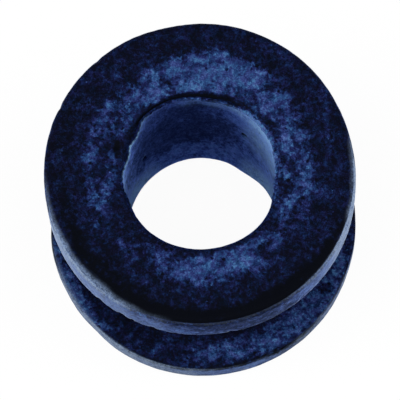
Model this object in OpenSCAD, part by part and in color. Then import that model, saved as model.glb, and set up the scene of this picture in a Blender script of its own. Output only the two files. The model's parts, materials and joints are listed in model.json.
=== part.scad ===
// Rubber grommet: a moulded sleeve with a lip at each end and a panel groove between them.
// It stands on its bottom lip, with the origin at the centre of that face and +Z along the bore.

/* [Lips] */
// Outer diameter of both lips
lip_d = 16; // [14:0.5:24]
// Thickness of the bottom lip
bottom_lip_t = 1.7; // [1:0.1:4]
// Thickness of the top lip
top_lip_t = 2.3; // [1:0.1:4]
// Radius of each lip's outer edge on the side of its end face
lip_face_round = 0.4; // [0.1:0.05:0.8]
// Radius of each lip's outer edge on the side of the groove
lip_groove_round = 0.15; // [0.05:0.05:0.5]

/* [Groove] */
// Width of the groove, for the panel and the bracket it holds
groove_w = 8; // [2:0.1:12]
// Diameter of the groove's floor, for the hole in the panel
groove_d = 12; // [10.5:0.1:14]
// Radius of the fillet where the groove's floor meets each lip
groove_fillet = 0.5; // [0.1:0.05:0.9]

/* [Bore] */
// Diameter of the straight bore, for the collar or the cable it takes
bore_d = 8; // [4:0.1:9.5]
// Radius of the bore's rim at each end
bore_rim_round = 0.3; // [0.1:0.05:0.8]

/* [Hidden] */
$fn = 144;

lip_r = lip_d / 2;
groove_r = groove_d / 2;
bore_r = bore_d / 2;
groove_bottom = bottom_lip_t;
groove_top = groove_bottom + groove_w;
height = groove_top + top_lip_t;

// What lies between a square corner at the origin and the arc of radius r that rounds it.
// The corner's sides run along x and y, to the side that each sign gives.
module corner_sliver(r, x_side, y_side) {
    scale([x_side, y_side])
        difference() {
            square(r);
            translate([r, r]) circle(r = r);
        }
}

// One lip as a rectangle in the half section, from the bore's wall out to the rim
module lip_section(z, thickness) {
    translate([bore_r, z]) square([lip_r - bore_r, thickness]);
}

// The sleeve between the lips, whose outer wall is the groove's floor
module sleeve_section() {
    translate([bore_r, 0]) square([groove_r - bore_r, height]);
}

// Slivers that round the convex corners of both lips and of the bore's two rims
module edge_slivers() {
    translate([lip_r, 0]) corner_sliver(lip_face_round, -1, 1);
    translate([lip_r, groove_bottom]) corner_sliver(lip_groove_round, -1, -1);
    translate([lip_r, groove_top]) corner_sliver(lip_groove_round, -1, 1);
    translate([lip_r, height]) corner_sliver(lip_face_round, -1, -1);
    translate([bore_r, 0]) corner_sliver(bore_rim_round, 1, 1);
    translate([bore_r, height]) corner_sliver(bore_rim_round, 1, -1);
}

// Slivers that fill the groove's two root corners
module root_slivers() {
    translate([groove_r, groove_bottom]) corner_sliver(groove_fillet, 1, 1);
    translate([groove_r, groove_top]) corner_sliver(groove_fillet, 1, -1);
}

// The moulded grommet, turned from its half section
module grommet() {
    color("#18202f")
        rotate_extrude() {
            difference() {
                union() {
                    lip_section(0, bottom_lip_t);
                    lip_section(groove_top, top_lip_t);
                    sleeve_section();
                }
                edge_slivers();
            }
            root_slivers();
        }
}

grommet();
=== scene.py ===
"""The looks of a moulded rubber grommet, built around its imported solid.

The grommet stands on its bottom lip, with +Z along the bore and the viewer on the side of -Y.
An azimuth is an angle about the bore in degrees: 0 is +X, 90 is the back and 270 is the front.
Sizes are in millimetres, unless a name says otherwise.
"""
from __future__ import annotations

import json
import logging
import math
from dataclasses import dataclass
from enum import Enum

import bpy
import numpy as np
from mathutils import Matrix, Vector
from mathutils import noise as solid_noise


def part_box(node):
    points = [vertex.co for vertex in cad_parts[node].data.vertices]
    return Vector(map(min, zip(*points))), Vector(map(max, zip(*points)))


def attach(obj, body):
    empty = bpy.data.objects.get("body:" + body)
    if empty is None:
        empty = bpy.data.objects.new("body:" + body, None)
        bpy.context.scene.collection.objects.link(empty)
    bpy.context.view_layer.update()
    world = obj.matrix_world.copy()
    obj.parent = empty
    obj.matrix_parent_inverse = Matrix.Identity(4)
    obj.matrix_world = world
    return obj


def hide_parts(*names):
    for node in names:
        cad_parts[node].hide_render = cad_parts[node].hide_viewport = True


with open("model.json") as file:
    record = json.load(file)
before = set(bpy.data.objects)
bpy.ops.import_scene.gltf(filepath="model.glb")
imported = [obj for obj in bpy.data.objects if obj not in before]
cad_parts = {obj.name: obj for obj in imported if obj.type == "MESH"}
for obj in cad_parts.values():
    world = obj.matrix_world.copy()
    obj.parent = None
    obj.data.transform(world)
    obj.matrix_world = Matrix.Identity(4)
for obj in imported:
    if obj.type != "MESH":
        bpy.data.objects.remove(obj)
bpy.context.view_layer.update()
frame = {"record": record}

MM = 0.001
BODY = "root"
NODE = "grommet"
log = logging.getLogger("grommet")

Colour = tuple[float, float, float]
Pair = tuple[float, float]


class Zone(Enum):
    """The finishes that the moulding shows, in the order of its material slots."""

    FACE = 0
    WALL = 1
    BORE = 2


class Side(Enum):
    """A side of the moulding, and how places on it are told apart besides their azimuth."""

    TOP = "top face, by radius"
    TOP_WALL = "outer wall of the top lip, by height"
    GROOVE = "groove between the lips, by height"
    LEDGE = "groove side of the bottom lip, by radius"
    LOW_WALL = "outer wall of the bottom lip, by height"
    UNDER = "bottom face, by radius"
    BORE = "wall of the bore, by height"
    RIM = "top rim of the bore, from 0 at the wall to 1 at the top face"

    @property
    def by_radius(self) -> bool:
        """Whether places on it are told apart by their radius."""
        return self in (Side.TOP, Side.LEDGE, Side.UNDER)

    @property
    def zone(self) -> Zone:
        """The finish of its faces, apart from those of the rim, which has two."""
        zones = {Side.TOP_WALL: Zone.WALL, Side.LOW_WALL: Zone.WALL, Side.BORE: Zone.BORE}
        return zones.get(self, Zone.FACE)


class Film(Enum):
    """What lies on the rubber, and the painted light and shade that its films also carry. Each is a float
    attribute of the mesh, from 0 to 1.
    """

    # Bloomed rubber, and painted light in the bore and the strength of the painted sheen on the lips' walls.
    BLOOM = "bloom"
    # Sooty rubber, and painted shade in the rim's crease and in the pits.
    SOOT_AND_PAINTED_SHADE = "soot"
    # Chalky patches and flash, and painted light on the sides that face the lamps and low in the bore.
    CHALK_AND_PAINTED_LIGHT = "chalk"


def off_middle(azimuth: np.ndarray, middle: float) -> np.ndarray:
    """Gives the angles from a middle to azimuths, from -180 to 180 degrees."""
    return (azimuth - middle + 180.0) % 360.0 - 180.0


def ease(share: np.ndarray) -> np.ndarray:
    """Makes values from 0 to 1 start and end gently."""
    return share * share * (3.0 - 2.0 * share)


def ripple(azimuth: np.ndarray, waves: tuple[int, ...], seed: int) -> np.ndarray:
    """Makes an uneven line round the part out of a few waves.

    Args:
        azimuth: Angles in degrees.
        waves: How many times each wave runs round the part.
        seed: Picks the waves' phases and sizes.

    Returns:
        Values about 0, mostly between -1 and 1.
    """
    draw = np.random.default_rng(seed)
    total = np.zeros_like(azimuth)
    for count in waves:
        phase = draw.uniform(0.0, 2.0 * math.pi)
        total += draw.uniform(0.6, 1.0) * np.cos(np.radians(azimuth) * count + phase)
    return total / math.sqrt(len(waves))


@dataclass(frozen=True)
class Row:
    """One ring of the mesh, before the moulding's faults bend it.

    Attributes:
        radius: Its radius.
        height: Its height.
        side: The side that it lies on.
        zone: The finish of the faces that start at it.
        at: Its place along the side.
    """

    radius: float
    height: float
    side: Side
    zone: Zone
    at: float


class Walk:
    """A walk round the half section that leaves rings of the mesh behind it.

    A stretch leaves out its end, where the next one starts.
    """

    def __init__(self) -> None:
        """Starts without rings."""
        self.rows: list[Row] = []

    def step(self, radius: float, height: float, side: Side) -> None:
        """Leaves one ring, in the finish of its side."""
        self.rows.append(Row(radius, height, side, side.zone, radius if side.by_radius else height))

    def line(self, start: Pair, end: Pair, side: Side, rings: int) -> None:
        """Leaves rings along a straight stretch, from one radius and height up to another."""
        for share in (step / rings for step in range(rings)):
            self.step(start[0] + (end[0] - start[0]) * share, start[1] + (end[1] - start[1]) * share, side)

    def arc(self, centre: Pair, radius: float, turn: Pair, side: Side, rings: int) -> None:
        """Leaves rings along a rounding about a centre, from one angle in degrees up to another."""
        for angle in (math.radians(turn[0] + (turn[1] - turn[0]) * step / rings) for step in range(rings)):
            self.step(centre[0] + radius * math.cos(angle), centre[1] + radius * math.sin(angle), side)


@dataclass(frozen=True)
class Section:
    """The half section of the moulding.

    Attributes:
        lip_radius: Outer radius of both lips.
        height: From the bottom face to the top face.
        bore_radius: Radius of the straight bore.
        groove_radius: Radius of the groove's floor.
        groove_low: Height of the bottom lip's groove side.
        groove_high: Height of the top lip's groove side.
        rim_round: Radius of the bore's rims.
        face_round: Radius of each lip's edge on the side of its end face.
        groove_round: Radius of each lip's edge on the side of the groove.
        fillet: Radius of the groove's root fillets.
    """

    lip_radius: float
    height: float
    bore_radius: float
    groove_radius: float
    groove_low: float
    groove_high: float
    rim_round: float
    face_round: float = 0.4
    groove_round: float = 0.15
    fillet: float = 0.5

    @classmethod
    def from_frame(cls) -> Section:
        """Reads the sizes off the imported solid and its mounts.

        Returns:
            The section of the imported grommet.
        """
        low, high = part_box(NODE)
        mounts = {mount["name"]: mount for mount in frame["record"]["mounts"]}
        bore = mounts["bore"]["dims"]
        groove = mounts["groove"]["dims"]
        groove_middle = mounts["groove"]["pos_m"][2] / MM
        height = (high.z - low.z) / MM
        return cls(
            lip_radius=(high.x - low.x) / 2 / MM,
            height=height,
            bore_radius=bore["r_mm"],
            groove_radius=groove["r_mm"],
            groove_low=groove_middle - groove["length_mm"] / 2,
            groove_high=groove_middle + groove["length_mm"] / 2,
            rim_round=(height - bore["length_mm"]) / 2,
        )

    def rows(self) -> list[Row]:
        """Walks the section from the top rim outwards, down and back up the bore to its rim.

        Returns:
            The mesh's rings but those of the top rim, in order round the section.
        """
        lip_r, groove_r, bore_r = self.lip_radius, self.groove_radius, self.bore_radius
        face_r, edge_r = lip_r - self.face_round, lip_r - self.groove_round
        root_r, rim_r = groove_r + self.fillet, bore_r + self.rim_round
        top, shoulder = self.height, self.height - self.face_round
        high_edge, low_edge = self.groove_high + self.groove_round, self.groove_low - self.groove_round
        high_root, low_root = self.groove_high - self.fillet, self.groove_low + self.fillet
        walk = Walk()
        walk.line((rim_r, top), (face_r, top), Side.TOP, rings=26)
        walk.arc((face_r, shoulder), self.face_round, (90.0, 40.0), Side.TOP, rings=6)
        walk.arc((face_r, shoulder), self.face_round, (40.0, 0.0), Side.TOP_WALL, rings=4)
        walk.line((lip_r, shoulder), (lip_r, high_edge), Side.TOP_WALL, rings=9)
        walk.arc((edge_r, high_edge), self.groove_round, (0.0, -90.0), Side.TOP_WALL, rings=4)
        walk.line((edge_r, self.groove_high), (root_r, self.groove_high), Side.GROOVE, rings=2)
        walk.arc((root_r, high_root), self.fillet, (90.0, 180.0), Side.GROOVE, rings=3)
        walk.line((groove_r, high_root), (groove_r, low_root), Side.GROOVE, rings=2)
        walk.arc((root_r, low_root), self.fillet, (180.0, 270.0), Side.GROOVE, rings=3)
        walk.line((root_r, self.groove_low), (edge_r, self.groove_low), Side.LEDGE, rings=11)
        walk.arc((edge_r, low_edge), self.groove_round, (90.0, 45.0), Side.LEDGE, rings=2)
        walk.arc((edge_r, low_edge), self.groove_round, (45.0, 0.0), Side.LOW_WALL, rings=2)
        walk.line((lip_r, low_edge), (lip_r, self.face_round), Side.LOW_WALL, rings=6)
        walk.arc((face_r, self.face_round), self.face_round, (0.0, -90.0), Side.LOW_WALL, rings=5)
        walk.line((face_r, 0.0), (rim_r, 0.0), Side.UNDER, rings=3)
        walk.arc((rim_r, self.rim_round), self.rim_round, (270.0, 180.0), Side.BORE, rings=4)
        walk.line((bore_r, self.rim_round), (bore_r, top - self.rim_round), Side.BORE, rings=36)
        return walk.rows


@dataclass(frozen=True)
class Span:
    """A stretch round the part with soft ends.

    Attributes:
        start: Azimuth where it opens.
        end: Azimuth where it closes.
        soft: Angle over which each of its ends fades.
    """

    start: float
    end: float
    soft: float

    def share(self, azimuth: np.ndarray) -> np.ndarray:
        """Works out how fully azimuths lie in the stretch.

        Args:
            azimuth: Angles in degrees.

        Returns:
            1 inside the stretch, 0 outside it.
        """
        middle, half = (self.start + self.end) / 2.0, (self.end - self.start) / 2.0
        turn = np.abs(off_middle(azimuth, middle))
        return ease(np.clip((half + self.soft / 2.0 - turn) / self.soft, 0.0, 1.0))


@dataclass(frozen=True)
class RimFlash:
    """The thin fin of flash on the bore's top rim, with the crease behind it.

    Its points are in rim radii: outwards from the bore's wall, and down from the top face.

    Attributes:
        section: The moulding's section.
        plain: The rim's points where it has no flash.
        finned: The same points where it has all of it.
        fin_points: How many of them belong to the fin. The others belong to the crease.
        fin: Where the fin stands.
        crease: Where the crease runs.
        rag_down: How far the fin's ragged edge drops.
        rag_in: How far it leans in and out.
        rag_waves: The waves of its edge.
        face_from: How far out the rim has the finish of the top face.
        bend_to: How far out the rim follows the flash's bends.
        bend_fade: Over how much of the rim they fade.
        bend_depth: Over how many millimetres of the bore's wall they fade.
    """

    section: Section
    plain: tuple[Pair, ...] = (
        (0.0, 1.0), (0.02, 0.80), (0.06, 0.62), (0.13, 0.46), (0.22, 0.33),
        (0.33, 0.22), (0.46, 0.13), (0.60, 0.07), (0.76, 0.03),
    )
    finned: tuple[Pair, ...] = (
        (0.0, 1.0), (-0.03, 0.62), (-0.06, 0.30), (-0.01, 0.12), (0.18, 0.10),
        (0.38, 0.26), (0.52, 0.78), (0.64, 0.80), (0.80, 0.20),
    )
    fin_points: int = 5
    fin: Span = Span(-25.0, 208.0, 24.0)
    crease: Span = Span(56.0, 164.0, 30.0)
    rag_down: float = 0.16
    rag_in: float = 0.09
    rag_waves: tuple[int, ...] = (13, 19, 31, 53, 89)
    face_from: float = 0.4
    bend_to: float = 0.85
    bend_fade: float = 0.5
    bend_depth: float = 0.5

    def rows(self) -> list[Row]:
        """Gives the rim's rings, as they are without flash.

        Returns:
            The rings, from the bore's wall to the top face.
        """
        section, rows = self.section, []
        for outward, drop in self.plain:
            radius = section.bore_radius + outward * section.rim_round
            height = section.height - drop * section.rim_round
            zone = Zone.FACE if outward > self.face_from else Zone.BORE
            rows.append(Row(radius, height, Side.RIM, zone, outward))
        return rows

    def raise_fin(self, azimuth: np.ndarray, radius: np.ndarray, height: np.ndarray) -> None:
        """Raises the ragged fin on the rim's rings, which are the mesh's last ones.

        Args:
            azimuth: Azimuths of the points of a ring.
            radius: Radius of each point of the mesh, ring by ring, which it changes.
            height: Height of each point of the mesh, ring by ring, which it changes.
        """
        section = self.section
        fin, crease = self.fin.share(azimuth), self.crease.share(azimuth)
        ragged = ripple(azimuth, self.rag_waves, seed=5)
        first = len(radius) - len(self.plain)
        for index, (plain, finned) in enumerate(zip(self.plain, self.finned)):
            share = fin if index < self.fin_points else crease
            outward = plain[0] + (finned[0] - plain[0]) * share
            drop = plain[1] + (finned[1] - plain[1]) * share
            if 0 < index < self.fin_points:
                drop = drop + self.rag_down * (1.0 + ragged) * fin * (1.0 - drop)
                outward = outward - self.rag_in * ragged * fin
            radius[first + index] = section.bore_radius + outward * section.rim_round
            height[first + index] = section.height - np.clip(drop, 0.0, 1.0) * section.rim_round

    def follow(self, row: Row) -> float:
        """Works out how fully a ring follows the flash's bends.

        Args:
            row: The ring.

        Returns:
            1 or more where it follows them, 0 or less where it doesn't.
        """
        section = self.section
        down = 1.0 - (section.height - row.height - section.rim_round) / self.bend_depth
        edge = section.bore_radius + self.bend_to * section.rim_round
        return min(down, (edge - row.radius) / (self.bend_fade * section.rim_round))


@dataclass(frozen=True)
class Mark:
    """A soft-edged patch of a film on one side.

    Attributes:
        azimuth: Angle of its middle, in degrees.
        at: Radius or height of its middle.
        half_angle: Half its width about the bore, in degrees.
        half_width: Half its width along the side.
        strength: How much of the film it adds. A negative one clears some away.
        lean: How far it moves along the side over one degree.
        wander: How far its edge wanders, as a share of its half width and its half angle.
        fades: Where its fade ends and how long it is, as shares of its half width.
    """

    azimuth: float
    at: float
    half_angle: float
    half_width: float
    strength: float
    lean: float = 0.0
    wander: Pair = (0.16, 0.15)
    fades: Pair = (1.6, 1.2)

    def cover(self, azimuth: np.ndarray, at: np.ndarray, uneven: tuple[np.ndarray, ...]) -> np.ndarray:
        """Works out the film that the patch adds.

        Args:
            azimuth: Angles of the points, in degrees.
            at: Their radii or heights.
            uneven: Two uneven values at each point, which move the patch's edges.

        Returns:
            The film at each point.
        """
        turn = off_middle(azimuth, self.azimuth)
        along = (at - self.at - self.lean * turn) / self.half_width + self.wander[0] * uneven[0]
        distance = np.sqrt((turn / self.half_angle + self.wander[1] * uneven[1]) ** 2 + along**2)
        end, length = self.fades
        return self.strength * ease(np.clip(end - distance, 0.0, length) / length)


@dataclass(frozen=True)
class Dent:
    """A nick, pit or low swelling in the surface.

    Attributes:
        azimuth: Angle of its middle, in degrees.
        radius: Distance of its middle from the bore's axis.
        height: Height of its middle.
        reach: Its half width.
        depth: How far it goes in, or out where it is negative.
    """

    azimuth: float
    radius: float
    height: float
    reach: float
    depth: float

    def centre(self) -> np.ndarray:
        """Returns the middle as x, y, z."""
        angle = math.radians(self.azimuth)
        return np.array([self.radius * math.cos(angle), self.radius * math.sin(angle), self.height])


class Stretch(Enum):
    """A stretch of the section that can be out of round."""

    TOP_LIP = "top lip"
    BOTTOM_LIP = "bottom lip"
    TOP_RIM = "top end of the bore"
    BOTTOM_RIM = "bottom end of the bore"
    FLASH = "flash on the bore's top rim"


@dataclass(frozen=True)
class Bend:
    """A place where the moulding is out of round.

    Attributes:
        azimuth: Angle of its middle, in degrees.
        half_angle: Half its width about the bore, in degrees.
        out: How far it moves the surface outwards.
    """

    azimuth: float
    half_angle: float
    out: float

    def shift(self, azimuth: np.ndarray) -> np.ndarray:
        """Gives how far points at these azimuths move outwards, at full strength."""
        return self.out * np.exp(-((off_middle(azimuth, self.azimuth) / self.half_angle) ** 2))


@dataclass(frozen=True)
class Swell:
    """The slight unevenness of a moulded surface.

    Attributes:
        height: How far the surface rises and falls.
        scale: Its lumps per millimetre.
        falloff: How fast the finer lumps get weaker.
        gain: How much finer each layer of lumps is.
        layers: How many layers it has.
        flat_foot: Height over which it starts, so that the bottom face stays flat.
    """

    height: float = 0.012
    scale: float = 1.7
    falloff: float = 0.8
    gain: float = 2.1
    layers: int = 4
    flat_foot: float = 0.3

    def depth(self, points: np.ndarray) -> np.ndarray:
        """Works out how far points sink into the rubber.

        Args:
            points: Places of the mesh's points, ring by ring.

        Returns:
            The depth at each point.
        """
        places = [Vector(place * self.scale) for place in points.reshape(-1, 3)]
        shape = self.falloff, self.gain, self.layers
        rise = np.array([solid_noise.fractal(place, *shape) for place in places])
        clear = np.clip(points[..., 2] / self.flat_foot, 0.0, 1.0)
        return self.height * rise.reshape(points.shape[:2]) * clear


@dataclass
class Grommet:
    """The moulded grommet, with its faults and films.

    Attributes:
        section: Its half section.
        flash: The flash on its top rim.
        bends: Where it is out of round, by stretch.
        dents: Its nicks, pits and swellings.
        marks: The films on it, by film and side.
        swell: Its unevenness.
        around: How many columns of faces run round it.
        lip_wave: How far the lips' edges at the groove rise and fall.
        lip_waves: The waves of those edges.
        wave_depth: How far up the top lip they reach.
        low_wave: How strong they are on the bottom lip, as a share.
        patch_scale: Lumps per millimetre of what moves the marks' edges.
        patch_gain: How strong it is.
        patch_levels: Heights at which its two patterns are cut from the noise.
    """

    section: Section
    flash: RimFlash
    bends: dict[Stretch, tuple[Bend, ...]]
    dents: tuple[Dent, ...]
    marks: dict[tuple[Film, Side], tuple[Mark, ...]]
    swell: Swell = Swell()
    around: int = 720
    lip_wave: float = 0.045
    lip_waves: tuple[int, ...] = (4, 7, 11, 23, 41, 67, 103, 151)
    wave_depth: float = 0.9
    low_wave: float = 0.6
    patch_scale: float = 0.9
    patch_gain: float = 2.4
    patch_levels: Pair = (0.0, 9.0)

    def build(self) -> bpy.types.Object:
        """Makes the moulding's mesh, with its films as attributes.

        Returns:
            The finished piece, without materials.
        """
        rows = self.section.rows() + self.flash.rows()
        azimuth = np.arange(self.around) * 360.0 / self.around
        turn, radius = np.meshgrid(azimuth, [row.radius for row in rows])
        height = np.array([row.height for row in rows])[:, None] + np.zeros_like(turn)
        self.flash.raise_fin(azimuth, radius, height)
        self._bend_lips(rows, azimuth, radius, height)
        points = np.stack([radius * np.cos(np.radians(turn)), radius * np.sin(np.radians(turn)), height], -1)
        mesh = self._mesh(rows, self._roughen(points))
        self._film(mesh, rows, turn)
        piece = bpy.data.objects.new("rubber_grommet", mesh)
        bpy.context.scene.collection.objects.link(piece)
        log.info("grommet: %d rings of %d faces", len(rows), self.around)
        return piece

    def _bend_lips(self, rows: list[Row], azimuth: np.ndarray, radius: np.ndarray,
                   height: np.ndarray) -> None:
        """Makes the lips a little out of round, with uneven edges.

        Args:
            rows: The mesh's rings.
            azimuth: Azimuths of the points of a ring.
            radius: Radius of each point, ring by ring, which it changes.
            height: Height of each point, ring by ring, which it changes.
        """
        wave = self.lip_wave * ripple(azimuth, self.lip_waves, seed=4)
        for index, row in enumerate(rows):
            for stretch, bends in self.bends.items():
                share = self._share(stretch, row)
                for bend in bends:
                    radius[index] += share * bend.shift(azimuth)
            edge = 1.0 - np.clip((row.height - self.section.groove_high) / self.wave_depth, 0.0, 1.0)
            height[index] += self._share(Stretch.TOP_LIP, row) * edge * wave
            edge = np.clip(row.height / self.section.groove_low, 0.0, 1.0)
            height[index] += self._share(Stretch.BOTTOM_LIP, row) * edge * wave * self.low_wave

    def _share(self, stretch: Stretch, row: Row) -> float:
        """Works out how fully a ring belongs to a stretch.

        Args:
            stretch: The stretch.
            row: The ring.

        Returns:
            0 where it doesn't, up to 1 where it does.
        """
        section = self.section
        outer = (row.radius - section.groove_radius) / (section.lip_radius - section.groove_radius)
        inner = (section.groove_radius - row.radius) / (section.groove_radius - section.bore_radius)
        rise = 2.0 * row.height / section.height - 1.0
        share = {
            Stretch.TOP_LIP: outer if row.height > section.groove_high - section.fillet else 0.0,
            Stretch.BOTTOM_LIP: outer if row.height < section.groove_low + section.fillet else 0.0,
            Stretch.TOP_RIM: inner * max(rise, 0.0),
            Stretch.BOTTOM_RIM: inner * max(-rise, 0.0),
            Stretch.FLASH: self.flash.follow(row),
        }[stretch]
        return min(max(share, 0.0), 1.0)

    def _roughen(self, points: np.ndarray) -> np.ndarray:
        """Adds the dents, and the slight unevenness of moulded rubber.

        Args:
            points: Places of the mesh's points, ring by ring.

        Returns:
            The new places.
        """
        inward = self._inward(points)
        for dent in self.dents:
            distance = np.linalg.norm(points - dent.centre(), axis=-1) / dent.reach
            points = points + inward * (dent.depth * np.exp(-(distance**2)))[..., None]
        return points + inward * self.swell.depth(points)[..., None]

    @staticmethod
    def _inward(points: np.ndarray) -> np.ndarray:
        """Finds the way into the rubber at each point.

        Args:
            points: Places of the mesh's points, ring by ring.

        Returns:
            Unit vectors that point into the rubber.
        """
        round_way = np.roll(points, -1, axis=1) - np.roll(points, 1, axis=1)
        along_way = np.roll(points, -1, axis=0) - np.roll(points, 1, axis=0)
        way = np.cross(round_way, along_way)
        return way / np.linalg.norm(way, axis=-1, keepdims=True)

    def _mesh(self, rows: list[Row], points: np.ndarray) -> bpy.types.Mesh:
        """Joins the rings into one closed mesh.

        Args:
            rows: The mesh's rings.
            points: Places of its points, ring by ring.

        Returns:
            The mesh, in metres, with each face in its zone's material slot.
        """
        ring = np.arange(len(rows))[:, None] * self.around
        next_ring = np.roll(ring, -1, axis=0)
        column = np.arange(self.around)[None, :]
        next_column = np.roll(column, -1, axis=1)
        corners = [ring + column, next_ring + column, next_ring + next_column, ring + next_column]
        faces = np.stack(corners, -1).reshape(-1, 4)
        mesh = bpy.data.meshes.new("rubber_grommet")
        mesh.from_pydata((points.reshape(-1, 3) * MM).tolist(), [], faces.tolist())
        mesh.update()
        zones = np.repeat([row.zone.value for row in rows], self.around)
        mesh.polygons.foreach_set("material_index", zones.astype(np.int32))
        mesh.polygons.foreach_set("use_smooth", np.ones(len(zones), dtype=bool))
        return mesh

    def _film(self, mesh: bpy.types.Mesh, rows: list[Row], turn: np.ndarray) -> None:
        """Writes the films to the mesh as attributes.

        Args:
            mesh: The mesh that takes them.
            rows: Its rings.
            turn: Azimuth of each of its points.
        """
        at = np.array([row.at for row in rows])[:, None]
        uneven = tuple(self._uneven(rows, turn[0], level) for level in self.patch_levels)
        cover = {film: np.zeros_like(turn) for film in Film}
        for (film, side), marks in self.marks.items():
            on_side = np.array([row.side is side for row in rows])[:, None]
            for mark in marks:
                cover[film] += np.where(on_side, mark.cover(turn, at, uneven), 0.0)
        for film in Film:
            values = mesh.attributes.new(film.value, "FLOAT", "POINT")
            values.data.foreach_set("value", np.clip(cover[film], 0.0, 1.0).ravel().astype(np.float32))

    def _uneven(self, rows: list[Row], azimuth: np.ndarray, level: float) -> np.ndarray:
        """Makes a slow uneven value over the mesh, so that the films' edges wander.

        Args:
            rows: The mesh's rings.
            azimuth: Azimuths of the points of a ring.
            level: Height at which its pattern is cut from the noise.

        Returns:
            Values about 0, mostly between -1 and 1, ring by ring.
        """
        ways = [(math.cos(angle), math.sin(angle)) for angle in np.radians(azimuth)]
        values = []
        for row in rows:
            places = [Vector((row.radius * across, row.radius * back, level)) for across, back in ways]
            values.append([self.patch_gain * solid_noise.noise(place * self.patch_scale) for place in places])
        return np.array(values)

    def dress(self, piece: bpy.types.Object, finishes: dict[Zone, Finish]) -> None:
        """Puts the finishes on the piece and names what it stands for.

        Args:
            piece: The built piece.
            finishes: The finish of each zone.
        """
        for zone in Zone:
            piece.data.materials.append(finishes[zone].material())
            log.info("finish: %s", finishes[zone].name)
        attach(piece, BODY)
        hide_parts(NODE)


class Graph:
    """A node tree that short calls wire up. A plain value given for a socket is set on it."""

    def __init__(self, tree: bpy.types.NodeTree) -> None:
        """Wraps a node tree."""
        self.tree = tree

    @classmethod
    def blank(cls, owner: bpy.types.Material | bpy.types.World) -> Graph:
        """Empties the node tree of a material or a world and wraps it.

        Args:
            owner: The material or world.

        Returns:
            The graph of its empty tree.
        """
        owner.use_nodes = True
        owner.node_tree.nodes.clear()
        return cls(owner.node_tree)

    def feed(self, socket: bpy.types.NodeSocket, value: object) -> None:
        """Links an output to an input, or sets the input to a plain value.

        Args:
            socket: The input.
            value: An output, a number, a vector or a colour of three numbers.
        """
        if isinstance(value, bpy.types.NodeSocket):
            self.tree.links.new(value, socket)
        else:
            socket.default_value = (*value, 1.0) if socket.type == "RGBA" else value

    def add(self, kind: str, inputs: dict[str | int, object] | None = None,
            **settings: object) -> bpy.types.Node:
        """Adds a node.

        Args:
            kind: The node's type.
            inputs: Values or outputs for its inputs, by name or number.
            settings: Values for its properties.

        Returns:
            The node.
        """
        node = self.tree.nodes.new(kind)
        for name, value in settings.items():
            setattr(node, name, value)
        for key, value in (inputs or {}).items():
            self.feed(node.inputs[key], value)
        return node

    def math(self, operation: str, *values: object, clamp: bool = False) -> bpy.types.NodeSocket:
        """Adds a Math node for its values, and returns its result, kept from 0 to 1 if it is clamped."""
        node = self.add("ShaderNodeMath", dict(enumerate(values)), operation=operation, use_clamp=clamp)
        return node.outputs[0]

    def linear(self, value: object, gain: object, offset: object,
               clamp: bool = False) -> bpy.types.NodeSocket:
        """Multiplies a value by a gain and adds an offset."""
        return self.math("MULTIPLY_ADD", value, gain, offset, clamp=clamp)

    def scaled(self, place: object, scale: object) -> bpy.types.NodeSocket:
        """Multiplies a place by a number."""
        node = self.add("ShaderNodeVectorMath", {"Vector": place, "Scale": scale}, operation="SCALE")
        return node.outputs["Vector"]

    def times(self, first: object, second: object) -> bpy.types.NodeSocket:
        """Multiplies two places or two colours, part by part."""
        return self.add("ShaderNodeVectorMath", {0: first, 1: second}, operation="MULTIPLY").outputs["Vector"]

    def warp(self, place: object, scale: float, reach: float) -> bpy.types.NodeSocket:
        """Moves a place by a noise, as far as the reach, so that what is drawn there is uneven."""
        inputs = {0: self.noise(place, scale, 1.0, 0.5, "Color"), 1: (reach, reach, reach), 2: place}
        return self.add("ShaderNodeVectorMath", inputs, operation="MULTIPLY_ADD").outputs["Vector"]

    def spread(self, value: object, low: object, high: object) -> bpy.types.NodeSocket:
        """Turns a value smoothly into a share, which is 0 at the low value and 1 at the high one."""
        inputs = {"Value": value, "From Min": low, "From Max": high}
        return self.add("ShaderNodeMapRange", inputs, interpolation_type="SMOOTHSTEP").outputs["Result"]

    def blend(self, share: object, first: object, second: object) -> bpy.types.NodeSocket:
        """Mixes two colours.

        Args:
            share: How much of the second there is.
            first: The first colour.
            second: The second colour.

        Returns:
            The mixed colour.
        """
        node = self.add("ShaderNodeMix", {"Factor": share}, data_type="RGBA")
        colours = [socket for socket in node.inputs if socket.type == "RGBA"]
        for socket, value in zip(colours, (first, second)):
            self.feed(socket, value)
        return next(socket for socket in node.outputs if socket.type == "RGBA")

    def mix(self, share: object, first: object, second: object) -> bpy.types.NodeSocket:
        """Mixes two shaders, where the share says how much of the second there is."""
        return self.add("ShaderNodeMixShader", {0: share, 1: first, 2: second}).outputs["Shader"]

    def noise(self, place: object, scale: object, detail: float, roughness: float,
              output: str = "Fac") -> bpy.types.NodeSocket:
        """Adds a noise about 0.5. Its scale is in lumps per unit of length, its detail in finer layers."""
        inputs = {"Vector": place, "Scale": scale, "Detail": detail, "Roughness": roughness}
        return self.add("ShaderNodeTexNoise", inputs).outputs[output]


FLOAT = "NodeSocketFloat"
VECTOR = "NodeSocketVector"
COLOUR = "NodeSocketColor"


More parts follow.
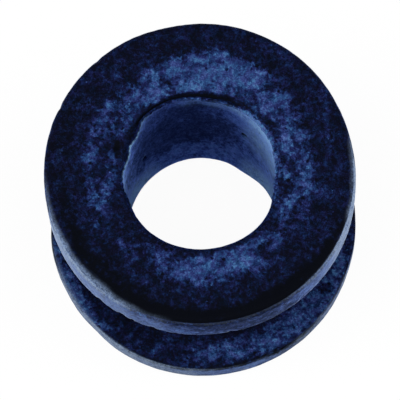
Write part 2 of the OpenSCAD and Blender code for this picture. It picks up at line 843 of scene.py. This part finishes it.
class Effect:
    """A node group that several finishes share."""

    def __init__(self, name: str, inputs: dict[str, float | None], outputs: dict[str, str]) -> None:
        """Makes an empty group.

        Args:
            name: The group's name.
            inputs: Default value of each input, by name. An input with None is a vector.
            outputs: Type of each output, by name.
        """
        self.tree = bpy.data.node_groups.new(name, "ShaderNodeTree")
        for label, value in inputs.items():
            kind = VECTOR if value is None else FLOAT
            socket = self.tree.interface.new_socket(label, in_out="INPUT", socket_type=kind)
            if value is not None:
                socket.default_value = value
        for label, kind in outputs.items():
            self.tree.interface.new_socket(label, in_out="OUTPUT", socket_type=kind)
        self.graph = Graph(self.tree)
        self.given = self.graph.add("NodeGroupInput").outputs
        self.results = self.graph.add("NodeGroupOutput").inputs

    def giving(self, **results: object) -> Effect:
        """Feeds the group's outputs.

        Args:
            results: What each output gives, by name.

        Returns:
            The finished group.
        """
        for name, value in results.items():
            self.graph.feed(self.results[name], value)
        return self

    def place(self, graph: Graph, **values: object) -> bpy.types.NodeOutputs:
        """Uses the group in a material or in another group.

        Args:
            graph: The graph that takes it.
            values: Values or outputs for its inputs, by name.

        Returns:
            The group's outputs.
        """
        return graph.add("ShaderNodeGroup", values, node_tree=self.tree).outputs


@dataclass(frozen=True)
class Tone:
    """A colour that the rubber shows at one strength of its bloom.

    Attributes:
        strength: The strength, from 0 to 1.
        colour: The colour.
    """

    strength: float
    colour: Colour


TONES = (
    Tone(0.0, (0.0015, 0.0025, 0.0066)),
    Tone(0.2, (0.0027, 0.0050, 0.0202)),
    Tone(0.4, (0.0059, 0.0116, 0.0550)),
    Tone(0.6, (0.0132, 0.0282, 0.1080)),
    Tone(0.8, (0.0286, 0.0612, 0.1880)),
    Tone(1.0, (0.0680, 0.1300, 0.3100)),
)
VIOLET = (1.32, 0.94, 1.06)
TEAL = (0.78, 1.07, 0.97)
WHITE = (1.0, 1.0, 1.0)


class Effects:
    """The effects that the finishes share, each built once."""

    # The smallest speck as a share of the size asked for, and the solid middle as a share of a speck
    LEAST_SPECK = 0.4
    SPECK_CORE = 0.4
    # Scale and strength of the grain's coarse layer, as shares of the fine one's
    COARSE_SCALE = 0.28
    COARSE_SHARE = 0.6

    def __init__(self) -> None:
        """Builds every group."""
        self.millimetres = self._millimetres()
        self.specks = self._specks()
        self.mottle = self._mottle()
        self.colours = self._colours()
        self.bloom = self._bloom()
        self.grain = self._grain()

    @staticmethod
    def _millimetres() -> Effect:
        """Builds the group that gives a point's place in millimetres.

        Returns:
            The group.
        """
        effect = Effect("Place in millimetres", {}, {"Place": VECTOR})
        place = effect.graph.add("ShaderNodeTexCoord").outputs["Object"]
        return effect.giving(Place=effect.graph.scaled(place, 1.0 / MM))

    def _specks(self) -> Effect:
        """Builds the group that scatters small specks or pits.

        Returns:
            The group.
        """
        effect = Effect("Specks", {"Place": None, "Scale": 3.0, "Size": 0.2, "Share": 0.2}, {"Mask": FLOAT})
        graph, given = effect.graph, effect.given
        place = graph.warp(given["Place"], scale=7.0, reach=0.12)
        cells = graph.add("ShaderNodeTexVoronoi", {"Vector": place, "Scale": given["Scale"]}).outputs
        pick = graph.add("ShaderNodeSeparateColor", {"Color": cells["Color"]}).outputs
        chosen = graph.math("LESS_THAN", pick[0], given["Share"])
        size = graph.math("MULTIPLY", given["Size"], graph.math("ADD", pick[1], self.LEAST_SPECK))
        near = graph.spread(cells["Distance"], low=size, high=graph.math("MULTIPLY", size, self.SPECK_CORE))
        return effect.giving(Mask=graph.math("MULTIPLY", near, chosen))

    @staticmethod
    def _mottle() -> Effect:
        """Builds the group of the cloudy patches, the islands with crisp edges and the fine flecks.

        Returns:
            The group.
        """
        outputs = {"Cloud": FLOAT, "Fleck": FLOAT, "Hue": FLOAT}
        effect = Effect("Mottle", {"Place": None, "Scale": 1.0}, outputs)
        graph, given = effect.graph, effect.given
        place = graph.warp(graph.scaled(given["Place"], given["Scale"]), scale=2.6, reach=0.16)
        patches = graph.noise(place, scale=1.1, detail=2.0, roughness=0.6)
        islands = graph.noise(place, scale=2.7, detail=4.0, roughness=0.68)
        flecks = graph.noise(place, scale=5.6, detail=3.0, roughness=0.95)
        hues = graph.noise(place, scale=2.8, detail=2.0, roughness=0.75)
        soft = graph.linear(patches, gain=4.0, offset=-2.0)
        crisp = graph.linear(graph.spread(islands, low=0.42, high=0.60), gain=1.15, offset=-0.58)
        return effect.giving(
            Cloud=graph.math("ADD", soft, crisp),
            Fleck=graph.linear(flecks, gain=11.6, offset=-5.8),
            Hue=graph.spread(hues, low=0.34, high=0.66),
        )

    @staticmethod
    def _colours() -> Effect:
        """Builds the group that turns a strength of bloom into its colour.

        Returns:
            The group.
        """
        effect = Effect("Bloom colours", {"Strength": 0.5, "Hue": 0.5}, {"Color": COLOUR})
        graph, given = effect.graph, effect.given
        ramp = graph.add("ShaderNodeValToRGB", {"Fac": given["Strength"]})
        stops = ramp.color_ramp.elements
        stops[0].position, stops[1].position = TONES[0].strength, TONES[-1].strength
        for tone in TONES[1:-1]:
            stops.new(tone.strength)
        for stop, tone in zip(stops, TONES):
            stop.color = (*tone.colour, 1.0)
        # The strong bloom is the greener, and the weak one the more violet.
        middle = graph.math("ADD", given["Hue"], -0.18)
        hue = graph.linear(given["Strength"], gain=0.4, offset=middle, clamp=True)
        tint = graph.blend(hue, VIOLET, TEAL)
        return effect.giving(Color=graph.times(ramp.outputs["Color"], tint))

    def _bloom(self) -> Effect:
        """Builds the group that lays the bloomed film on the rubber, with its pits and specks, and the
        painted light that its cover carries.

        Returns:
            The group.
        """
        inputs = {"Place": None, "Cover": 0.5, "Floor": 0.2, "Lift": 0.5, "Breakup": 0.1, "Scale": 1.0}
        effect = Effect("Bloom on rubber", inputs, {"Color": COLOUR, "Strength": FLOAT})
        graph, given = effect.graph, effect.given
        mottle = self.mottle.place(graph, Place=given["Place"], Scale=given["Scale"])
        pits = self.specks.place(graph, Place=given["Place"], Scale=3.1, Size=0.31, Share=0.38)["Mask"]
        specks = self.specks.place(graph, Place=given["Place"], Scale=3.3, Size=0.13, Share=0.13)["Mask"]
        cover = graph.linear(mottle["Cloud"], gain=0.24, offset=given["Cover"])
        held = graph.spread(cover, low=0.05, high=0.95)
        strength = graph.linear(held, gain=given["Lift"], offset=given["Floor"])
        uneven = graph.math("ADD", mottle["Cloud"], mottle["Fleck"])
        strength = graph.linear(uneven, gain=given["Breakup"], offset=strength)
        strength = graph.linear(pits, gain=-0.42, offset=strength)
        strength = graph.linear(specks, gain=0.50, offset=strength, clamp=True)
        colours = self.colours.place(graph, Strength=strength, Hue=mottle["Hue"])
        return effect.giving(Color=colours["Color"], Strength=strength)

    def _grain(self) -> Effect:
        """Builds the group that gives the fine grain of moulded rubber.

        Returns:
            The group.
        """
        effect = Effect("Rubber grain", {"Place": None, "Scale": 12.0}, {"Height": FLOAT})
        graph, given = effect.graph, effect.given
        fine = graph.noise(given["Place"], given["Scale"], detail=4.0, roughness=0.7)
        coarser = graph.math("MULTIPLY", given["Scale"], self.COARSE_SCALE)
        coarse = graph.noise(given["Place"], coarser, detail=2.0, roughness=0.5)
        return effect.giving(Height=graph.linear(coarse, gain=self.COARSE_SHARE, offset=fine))


@dataclass(frozen=True)
class Finish:
    """A finish of the rubber: what lies on it, and how it takes light.

    Attributes:
        name: The material's name.
        effects: The effects that it uses.
        floor: Strength of bloom where no mark adds any.
        lift: Strength that a full mark adds.
        breakup: How uneven the strength is.
        scale: How fine the mottle is.
        upright: How fine it is along the bore, as a share of how fine it is round it.
        film_scale: How fine the mottle of the sooty and the chalky films is.
        soot: Colour of its darkest places, on sooty rubber and where shade is painted.
        soot_and_painted_shade_breakup: How uneven the darkening is.
        chalk: Colour of the pale chalky patches and of the flash, and of the painted light.
        chalk_and_painted_light_breakup: How uneven the paling is.
        haze_sheen: Colour of the thin dusty film and its painted sheen where the surface turns away from the
            viewer.
        dust_sheen: Their colour where the surface is seen edge on.
        dust_sheen_share: How much of them shows there.
        dust_sheen_base: How much of that share doesn't follow the bloomed film's strength.
        dust_sheen_falloff: How fast the painted sheen fades as the surface turns to the viewer.
        haze_sheen_falloff: How fast its colour turns into that of the thin film.
        specular: Specular level.
        roughness: Roughness.
        bump: Height of the grain, in millimetres.
        grain_scale: How fine the grain is.
    """

    name: str
    effects: Effects
    floor: float = 0.172
    lift: float = 0.5
    breakup: float = 0.138
    scale: float = 1.0
    upright: float = 1.0
    film_scale: float = 1.8
    soot: Colour = (0.0014, 0.0020, 0.0042)
    soot_and_painted_shade_breakup: float = 0.24
    chalk: Colour = (0.185, 0.262, 0.42)
    chalk_and_painted_light_breakup: float = 0.36
    haze_sheen: Colour = (0.105, 0.195, 0.58)
    dust_sheen: Colour = (0.52, 0.64, 0.80)
    dust_sheen_share: float = 0.0
    dust_sheen_base: float = 0.3
    dust_sheen_falloff: float = 5.0
    haze_sheen_falloff: float = 9.0
    specular: float = 0.02
    roughness: float = 0.65
    bump: float = 0.02
    grain_scale: float = 11.0

    def material(self) -> bpy.types.Material:
        """Builds the material.

        Returns:
            The material.
        """
        material = bpy.data.materials.new(self.name)
        graph = Graph.blank(material)
        place = graph.times(self.effects.millimetres.place(graph)["Place"], (1.0, 1.0, self.upright))
        grain = self.effects.grain.place(graph, Place=place, Scale=self.grain_scale)["Height"]
        bump = graph.add("ShaderNodeBump", {"Strength": 1.0, "Distance": self.bump * MM, "Height": grain})
        shader = graph.add("ShaderNodeBsdfPrincipled", {
            "Base Color": self._colour(graph, place),
            "Roughness": self.roughness,
            "Specular IOR Level": self.specular,
            "Normal": bump.outputs["Normal"],
        })
        graph.add("ShaderNodeOutputMaterial", {"Surface": shader.outputs["BSDF"]})
        return material

    def _colour(self, graph: Graph, place: bpy.types.NodeSocket) -> bpy.types.NodeSocket:
        """Lays the films on the rubber, with the painted light and shade that they carry.

        Args:
            graph: The material's graph.
            place: Where the films are read, in millimetres.

        Returns:
            The colour of the surface.
        """
        films = {}
        for film in Film:
            films[film] = graph.add("ShaderNodeAttribute", attribute_name=film.value).outputs["Fac"]
        bloom = self.effects.bloom.place(graph, Place=place, Cover=films[Film.BLOOM], Floor=self.floor,
                                         Lift=self.lift, Breakup=self.breakup, Scale=self.scale)
        mottle = self.effects.mottle.place(graph, Place=place, Scale=self.film_scale)
        colour = self._dust_and_sheen(graph, bloom)
        # Darkens towards the darkest colour: sooty rubber, and painted shade in the rim's crease and in the
        # pits.
        soot = graph.linear(mottle["Cloud"], gain=-self.soot_and_painted_shade_breakup, offset=films[Film.SOOT_AND_PAINTED_SHADE])
        colour = graph.blend(graph.spread(soot, low=0.1, high=0.9), colour, self.soot)
        # Turns paler towards the pale colour: chalky patches and flash, and painted light on the sides that
        # face the lamps and low in the bore.
        uneven = graph.math("ADD", mottle["Fleck"], mottle["Cloud"])
        uneven = graph.linear(uneven, gain=self.chalk_and_painted_light_breakup, offset=1.0)
        chalk = graph.math("MULTIPLY", films[Film.CHALK_AND_PAINTED_LIGHT], uneven)
        return graph.blend(graph.math("MINIMUM", chalk, 1.0), colour, self.chalk)

    def _dust_and_sheen(self, graph: Graph, bloom: bpy.types.NodeOutputs) -> bpy.types.NodeSocket:
        """Adds the dusty film and the painted sheen that show where the surface is seen edge on.

        Args:
            graph: The material's graph.
            bloom: Colour and strength of the bloomed film, with the painted light that it carries.

        Returns:
            The colour under the sooty and the chalky films.
        """
        # Painted sheen: where the surface is seen edge on, its colour turns towards that of a pale dusty
        # film, more so where it is strongly bloomed.
        edge_on = graph.add("ShaderNodeLayerWeight", {"Blend": 0.5}).outputs["Facing"]
        sheen = graph.math("POWER", edge_on, self.dust_sheen_falloff)
        held = graph.math("MULTIPLY", graph.math("ADD", bloom["Strength"], self.dust_sheen_base), self.dust_sheen_share)
        sheen = graph.math("MINIMUM", graph.math("MULTIPLY", sheen, held), 1.0)
        dust_sheen = graph.blend(graph.math("POWER", edge_on, self.haze_sheen_falloff), self.haze_sheen, self.dust_sheen)
        return graph.blend(sheen, bloom["Color"], dust_sheen)


@dataclass
class Studio:
    """The pale floor and the soft lamps round the grommet.

    Attributes:
        floor_half: Half the floor's width.
        floor_colour: Colour of the floor.
        floor_gap: How far the floor lies below the bottom face, so that the two never mix.
        glow: How much of the floor is plain white to the camera and in reflections.
        sky: Brightness of the room.
        sky_colour: Colour of its light.
    """

    floor_half: float = 400.0
    floor_colour: Colour = (0.85, 0.85, 0.85)
    floor_gap: float = 0.02
    glow: float = 0.95
    sky: float = 0.09
    sky_colour: Colour = (0.94, 0.97, 1.0)

    def build(self) -> None:
        """Makes the floor, the room and the lamps."""
        self._floor()
        self._room()
        for lamp in LAMPS:
            lamp.build()
            log.info("lamp: %s", lamp.name)

    def _floor(self) -> None:
        """Lays the floor that the grommet stands on."""
        half, low = self.floor_half * MM, -self.floor_gap * MM
        corners = [(-half, -half, low), (half, -half, low), (half, half, low), (-half, half, low)]
        mesh = bpy.data.meshes.new("floor")
        mesh.from_pydata(corners, [], [(0, 1, 2, 3)])
        mesh.materials.append(self._floor_material())
        floor = bpy.data.objects.new("floor", mesh)
        bpy.context.scene.collection.objects.link(floor)

    def _floor_material(self) -> bpy.types.Material:
        """Builds the floor's material, which is almost white to the camera and clear from below.

        Returns:
            The material.
        """
        material = bpy.data.materials.new("pale floor")
        graph = Graph.blank(material)
        lit = graph.add("ShaderNodeBsdfDiffuse", {"Color": self.floor_colour}).outputs["BSDF"]
        white = graph.add("ShaderNodeEmission", {"Color": WHITE}).outputs["Emission"]
        clear = graph.add("ShaderNodeBsdfTransparent").outputs["BSDF"]
        rays = graph.add("ShaderNodeLightPath").outputs
        mirrored = graph.math("MAXIMUM", rays["Is Glossy Ray"], rays["Is Transmission Ray"])
        seen = graph.math("MAXIMUM", rays["Is Camera Ray"], mirrored)
        above = graph.mix(graph.math("MULTIPLY", seen, self.glow), lit, white)
        from_below = graph.add("ShaderNodeNewGeometry").outputs["Backfacing"]
        graph.add("ShaderNodeOutputMaterial", {"Surface": graph.mix(from_below, above, clear)})
        return material

    def _room(self) -> None:
        """Makes the room white to the camera and dim to everything else."""
        world = bpy.data.worlds.new("room")
        graph = Graph.blank(world)
        seen = graph.add("ShaderNodeLightPath").outputs["Is Camera Ray"]
        dim = graph.add("ShaderNodeBackground", {"Color": self.sky_colour, "Strength": self.sky})
        white = graph.add("ShaderNodeBackground", {"Color": WHITE, "Strength": 1.0})
        both = graph.mix(seen, dim.outputs["Background"], white.outputs["Background"])
        graph.add("ShaderNodeOutputWorld", {"Surface": both})
        bpy.context.scene.world = world


@dataclass(frozen=True)
class Lamp:
    """A soft square lamp that faces the grommet.

    Attributes:
        name: Its name.
        azimuth: Where it stands round the grommet, in degrees.
        elevation: How high it stands, in degrees.
        light: Light that it throws on a surface that faces it, where 1 shows white as white.
        distance: How far away it stands.
        width: Its width.
    """

    name: str
    azimuth: float
    elevation: float
    light: float
    distance: float = 300.0
    width: float = 160.0

    def build(self) -> None:
        """Makes the lamp."""
        data = bpy.data.lights.new(self.name, "AREA")
        data.shape = "SQUARE"
        data.size = self.width * MM
        # A flat lamp of power P lights what faces it from a distance d with P / (pi d^2), which
        # has to be pi times the share of white that it gives.
        data.energy = self.light * (math.pi * self.distance * MM) ** 2
        lamp = bpy.data.objects.new(self.name, data)
        across, up = math.radians(self.azimuth), math.radians(self.elevation)
        way = Vector((math.cos(up) * math.cos(across), math.cos(up) * math.sin(across), math.sin(up)))
        turned = way.to_track_quat("Z", "Y").to_matrix().to_4x4()
        lamp.matrix_world = Matrix.Translation(way * self.distance * MM) @ turned
        bpy.context.scene.collection.objects.link(lamp)


LAMPS = (
    Lamp("left lamp", azimuth=184.0, elevation=24.0, light=0.54),
    Lamp("right lamp", azimuth=356.0, elevation=24.0, light=0.60),
    Lamp("high left lamp", azimuth=205.0, elevation=61.0, light=0.34),
    Lamp("high right lamp", azimuth=332.0, elevation=60.0, light=0.16),
    Lamp("top lamp", azimuth=270.0, elevation=82.0, light=0.38, distance=400.0, width=200.0),
)


@dataclass(frozen=True)
class Camera:
    """The camera of the photograph.

    Attributes:
        elevation: Its angle above the floor, in degrees.
        roll: How far it is turned clockwise, in degrees.
        distance: How far it is from the grommet's middle.
        lens: Focal length.
        sensor: Width of the sensor.
        shift_x: Shift of the frame to the right, as a share of its width.
        shift_y: Shift of the frame upwards, as a share of its width.
        nearest: Distance from which on it sees things.
        farthest: Distance up to which it sees them.
    """

    elevation: float = 75.0
    roll: float = 3.36
    distance: float = 225.35
    lens: float = 389.25
    sensor: float = 36.0
    shift_x: float = -0.0042
    shift_y: float = 0.0054
    nearest: float = 10.0
    farthest: float = 10000.0

    def build(self, middle: Vector) -> None:
        """Makes the camera and looks through it.

        Args:
            middle: The point that it faces, in metres.
        """
        data = bpy.data.cameras.new("camera")
        data.lens = self.lens
        data.sensor_width = self.sensor
        data.shift_x = self.shift_x
        data.shift_y = self.shift_y
        data.clip_start = self.nearest * MM
        data.clip_end = self.farthest * MM
        up, turn = math.radians(self.elevation), math.radians(self.roll)
        back = Vector((0.0, -math.cos(up), math.sin(up)))
        level = Vector((1.0, 0.0, 0.0))
        upright = back.cross(level)
        right = level * math.cos(turn) - upright * math.sin(turn)
        above = upright * math.cos(turn) + level * math.sin(turn)
        turned = Matrix((right, above, back)).transposed().to_4x4()
        camera = bpy.data.objects.new("camera", data)
        camera.matrix_world = Matrix.Translation(middle + back * self.distance * MM) @ turned
        bpy.context.scene.collection.objects.link(camera)
        bpy.context.scene.camera = camera


BENDS = {
    Stretch.TOP_LIP: (
        Bend(azimuth=15.0, half_angle=26.0, out=-0.13),
        Bend(azimuth=60.0, half_angle=22.0, out=-0.03),
        Bend(azimuth=98.0, half_angle=12.0, out=-0.05),
        Bend(azimuth=180.0, half_angle=16.0, out=-0.055),
    ),
    Stretch.BOTTOM_LIP: (
        Bend(azimuth=10.0, half_angle=14.0, out=0.13),
        Bend(azimuth=325.0, half_angle=30.0, out=0.05),
        Bend(azimuth=187.0, half_angle=12.0, out=0.11),
        Bend(azimuth=350.0, half_angle=8.0, out=0.06),
    ),
    Stretch.BOTTOM_RIM: (
        Bend(azimuth=52.0, half_angle=15.0, out=-0.18),
        Bend(azimuth=76.0, half_angle=14.0, out=-0.04),
    ),
    Stretch.TOP_RIM: (
        Bend(azimuth=312.0, half_angle=22.0, out=0.08),
        Bend(azimuth=200.0, half_angle=18.0, out=-0.09),
    ),
    Stretch.FLASH: (
        Bend(azimuth=345.0, half_angle=14.0, out=-0.12),
        Bend(azimuth=5.0, half_angle=22.0, out=-0.14),
        Bend(azimuth=45.0, half_angle=20.0, out=-0.12),
        Bend(azimuth=78.0, half_angle=22.0, out=-0.20),
        Bend(azimuth=147.0, half_angle=9.0, out=-0.28),
        Bend(azimuth=165.0, half_angle=10.0, out=-0.30),
    ),
}

DENTS = (
    Dent(azimuth=128.0, radius=7.95, height=11.8, reach=0.16, depth=0.10),
    Dent(azimuth=150.5, radius=7.95, height=11.7, reach=0.14, depth=0.08),
    Dent(azimuth=221.0, radius=8.0, height=0.9, reach=0.9, depth=0.09),
    Dent(azimuth=227.0, radius=8.0, height=9.72, reach=0.14, depth=0.13),
    Dent(azimuth=236.5, radius=8.0, height=9.72, reach=0.18, depth=0.12),
    Dent(azimuth=241.0, radius=8.0, height=9.72, reach=0.12, depth=0.10),
    Dent(azimuth=249.0, radius=8.0, height=9.72, reach=0.15, depth=0.13),
    Dent(azimuth=278.0, radius=8.0, height=9.72, reach=0.16, depth=0.10),
    Dent(azimuth=52.8, radius=4.0, height=7.0, reach=0.15, depth=0.12),
    Dent(azimuth=135.2, radius=4.0, height=5.1, reach=0.16, depth=0.12),
    Dent(azimuth=159.0, radius=4.45, height=12.0, reach=0.2, depth=0.10),
)

# A mark gives its azimuth, place along the side, half angle, half width and strength, in that order.
MARKS = {
    (Film.BLOOM, Side.TOP): (
        Mark(76.0, 5.15, 45.0, 1.05, 0.95),
        Mark(8.0, 5.1, 24.0, 0.95, 0.48),
        Mark(14.0, 7.0, 12.0, 0.4, 0.2),
        Mark(137.0, 5.3, 18.0, 0.75, 0.48),
        Mark(190.0, 5.2, 15.0, 0.5, 0.60, lean=0.05),
        Mark(162.0, 5.7, 16.0, 0.45, 0.45),
        Mark(222.0, 5.2, 18.0, 0.7, 0.12),
        Mark(275.0, 5.15, 34.0, 0.85, 0.88),
        Mark(328.0, 5.4, 24.0, 0.8, 0.42),
        Mark(184.0, 5.7, 8.0, 0.28, 0.6),
        Mark(125.0, 4.6, 13.0, 0.26, 0.5),
        Mark(147.0, 4.45, 8.0, 0.26, 0.6),
        Mark(168.0, 4.6, 7.0, 0.28, 0.5),
        Mark(107.0, 5.9, 7.0, 0.35, 0.5),
        Mark(79.0, 6.2, 14.0, 0.36, 0.5),
        Mark(10.0, 4.45, 7.0, 0.22, 0.5),
        Mark(33.0, 5.85, 8.0, 0.45, 0.45),
        Mark(301.0, 4.56, 12.0, 0.28, 0.5),
        Mark(335.0, 4.8, 8.0, 0.3, 0.4),
        Mark(239.0, 4.6, 9.0, 0.3, 0.5),
        Mark(126.0, 6.4, 13.0, 0.5, -0.4),
        Mark(16.0, 6.0, 7.0, 0.36, -0.45),
        Mark(1.0, 6.4, 9.0, 0.5, -0.4),
        Mark(323.0, 5.8, 9.0, 0.45, -0.3),
        Mark(309.0, 5.4, 6.0, 0.5, -0.45),
        Mark(275.0, 6.0, 13.0, 0.34, -0.35),
    ),
    (Film.BLOOM, Side.RIM): (
        Mark(78.0, 1.05, 46.0, 0.12, 1.1),
        Mark(84.0, 0.14, 34.0, 0.16, 0.5),
        Mark(20.0, 0.2, 38.0, 0.6, 0.8),
    ),
    (Film.SOOT_AND_PAINTED_SHADE, Side.TOP): (
        # Darker towards the face's outer edge, most at the front.
        Mark(286.0, 7.68, 50.0, 0.48, 1.3),
        Mark(226.0, 7.2, 30.0, 0.55, 0.62),
        Mark(240.0, 6.3, 20.0, 0.6, 0.28),
        Mark(307.0, 6.8, 15.0, 0.45, 0.4),
        # Painted shade in the dent beside the rim.
        Mark(159.0, 4.45, 3.6, 0.17, 1.6),
        Mark(168.0, 7.1, 42.0, 0.6, 0.44),
    ),
    (Film.SOOT_AND_PAINTED_SHADE, Side.RIM): (
        # Painted shade in the crease behind the fin.
        Mark(90.0, 0.60, 23.0, 0.14, 1.3),
        Mark(122.0, 0.6, 14.0, 0.16, 1.2),
        Mark(142.0, 0.6, 10.0, 0.24, 0.5),
    ),
    (Film.CHALK_AND_PAINTED_LIGHT, Side.RIM): (
        Mark(160.0, 0.0, 26.0, 0.14, 0.55),
        Mark(30.0, 0.04, 50.0, 0.14, 0.14),
    ),
    (Film.BLOOM, Side.BORE): (
        # Painted light: lighter on the sides that face the lamps, in a painted highlight along the top, and
        # towards the bottom as light from below; the negative marks darken the middle of the back wall.
        Mark(32.0, 9.0, 30.0, 6.0, 0.9),
        Mark(168.0, 8.0, 24.0, 6.0, 0.6),
        Mark(90.0, 0.8, 110.0, 3.2, 0.8),
        Mark(62.0, 11.3, 50.0, 0.8, 1.0),
        Mark(64.0, 9.4, 18.0, 1.8, 0.6),
        Mark(113.0, 9.0, 18.0, 2.0, -0.5),
        Mark(98.0, 6.7, 20.0, 1.8, -0.4),
        Mark(129.0, 5.4, 10.0, 1.8, -0.25),
    ),
    (Film.SOOT_AND_PAINTED_SHADE, Side.BORE): (
        # Painted shade in the pits.
        Mark(135.2, 5.1, 2.0, 0.26, 1.5),
        Mark(125.6, 6.4, 1.6, 0.2, 0.7),
        Mark(52.8, 7.03, 2.2, 0.3, 1.8),
    ),
    (Film.CHALK_AND_PAINTED_LIGHT, Side.BORE): (
        # Painted light: paler on the right wall, which faces the left lamps, near the top on the left, and
        # towards the bottom of the bore.
        Mark(42.0, 11.3, 42.0, 1.1, 0.5),
        Mark(28.0, 8.5, 20.0, 3.0, 0.45),
        Mark(20.0, 0.6, 30.0, 2.6, 0.6),
        Mark(152.0, 0.4, 24.0, 2.2, 0.55),
        Mark(150.0, 11.0, 16.0, 1.0, 0.3),
    ),
    (Film.BLOOM, Side.LEDGE): (
        Mark(290.0, 7.1, 24.0, 0.8, 0.5),
        Mark(330.0, 7.4, 28.0, 1.0, 0.68),
        Mark(214.0, 7.5, 9.0, 0.4, 0.2),
        Mark(266.0, 7.1, 7.0, 0.5, 0.3),
        Mark(255.0, 7.4, 30.0, 0.9, 0.14),
        Mark(202.0, 7.9, 20.0, 0.5, 0.9),
    ),
    (Film.SOOT_AND_PAINTED_SHADE, Side.LEDGE): (
        # Darker along the ledge's outer edge at the front.
        Mark(254.0, 7.87, 30.0, 0.13, 0.25),
        Mark(286.0, 7.9, 14.0, 0.14, 0.5),
        Mark(318.0, 7.8, 18.0, 0.14, 0.35),
    ),
    (Film.SOOT_AND_PAINTED_SHADE, Side.LOW_WALL): (
        # Darker at the bottom lip's left end, where it takes away the painted sheen, and along its upper edge
        # at the front and right.
        Mark(185.0, 0.9, 7.0, 3.0, 0.9),
        Mark(300.0, 1.5, 12.0, 0.24, 0.5),
        Mark(262.0, 1.7, 32.0, 0.15, 0.9),
        Mark(306.0, 1.1, 14.0, 0.5, 0.5),
    ),
    (Film.CHALK_AND_PAINTED_LIGHT, Side.LOW_WALL): (
        # Chalky, and on the sides partly painted light from the lamps: paler on the bottom lip's wall.
        Mark(230.0, 0.9, 38.0, 1.4, 0.68),
        Mark(288.0, 0.8, 10.0, 0.7, 0.16),
        Mark(319.0, 0.8, 18.0, 0.8, 0.38),
    ),
    (Film.BLOOM, Side.LOW_WALL): (
        Mark(280.0, 1.1, 28.0, 0.7, 0.85),
    ),
    (Film.CHALK_AND_PAINTED_LIGHT, Side.LEDGE): (
        Mark(204.0, 8.0, 18.0, 0.16, 0.36),
        Mark(228.0, 8.0, 14.0, 0.1, 0.26),
    ),
    (Film.CHALK_AND_PAINTED_LIGHT, Side.TOP): (
        # Chalky, and partly painted highlight: paler on the top lip's rounded edge where it faces the lamps.
        Mark(217.0, 8.0, 28.0, 0.27, 0.62),
        Mark(352.0, 8.0, 15.0, 0.24, 0.36),
        Mark(320.0, 8.0, 20.0, 0.1, 0.4),
    ),
    (Film.CHALK_AND_PAINTED_LIGHT, Side.TOP_WALL): (
        # Mostly painted light: paler on the top lip's wall on the sides that face the lamps, least at the
        # front.
        Mark(214.0, 11.9, 25.0, 0.3, 0.52),
        Mark(352.0, 11.9, 15.0, 0.3, 0.7),
        Mark(280.0, 11.95, 30.0, 0.22, 0.08),
        Mark(320.0, 11.95, 18.0, 0.4, 0.32),
        Mark(222.0, 10.8, 27.0, 2.0, 0.3),
        Mark(340.0, 10.8, 20.0, 2.0, 0.6),
        Mark(202.0, 10.8, 9.0, 2.0, 0.25),
    ),
    (Film.BLOOM, Side.TOP_WALL): (
        # These set how strong the painted sheen is: strongest on the sides that face the lamps.
        Mark(300.0, 11.0, 20.0, 1.6, 0.22),
        Mark(269.0, 10.1, 14.0, 0.5, 0.5),
        Mark(234.0, 10.8, 27.0, 2.0, 0.9),
        Mark(200.0, 10.8, 14.0, 2.0, 0.7),
        Mark(332.0, 10.8, 24.0, 2.0, 0.9),
    ),
}

def finishes(effects: Effects) -> dict[Zone, Finish]:
    """Chooses the finish of each zone.

    Args:
        effects: The effects that they share.

    Returns:
        The finishes.
    """
    face = Finish("bloomed rubber face", effects)
    # The lips' walls take the strongest painted sheen, with a pale colour for the painted light on their
    # sides.
    wall = Finish(
        "rubber lip wall", effects, floor=0.2, breakup=0.18, scale=1.5, upright=0.85,
        chalk=(0.22, 0.285, 0.40), dust_sheen=(0.53, 0.63, 0.76), dust_sheen_share=0.97, specular=0.002,
    )
    # The bore's pale colours are for painted light and painted sheen on its walls.
    bore = Finish(
        "rubber bore wall", effects, floor=0.22, lift=0.6, breakup=0.15, scale=1.7, upright=0.5,
        chalk=(0.26, 0.48, 0.78), haze_sheen=(0.10, 0.20, 0.90), dust_sheen=(0.37, 0.62, 1.0), dust_sheen_share=1.55,
        specular=0.0,
    )
    return {Zone.FACE: face, Zone.WALL: wall, Zone.BORE: bore}


def main() -> None:
    """Builds the grommet, the studio and the camera."""
    logging.basicConfig(level=logging.INFO, format="%(name)s: %(message)s")
    section = Section.from_frame()
    Camera().build(Vector((0.0, 0.0, section.height / 2 * MM)))
    Studio().build()
    dressing = finishes(Effects())
    grommet = Grommet(section, RimFlash(section), BENDS, DENTS, MARKS)
    piece = grommet.build()
    grommet.dress(piece, dressing)
    log.info("piece: %s", piece.name)


if __name__ == "__main__":
    bpy.context.scene.view_settings.view_transform = "Standard"
    main()
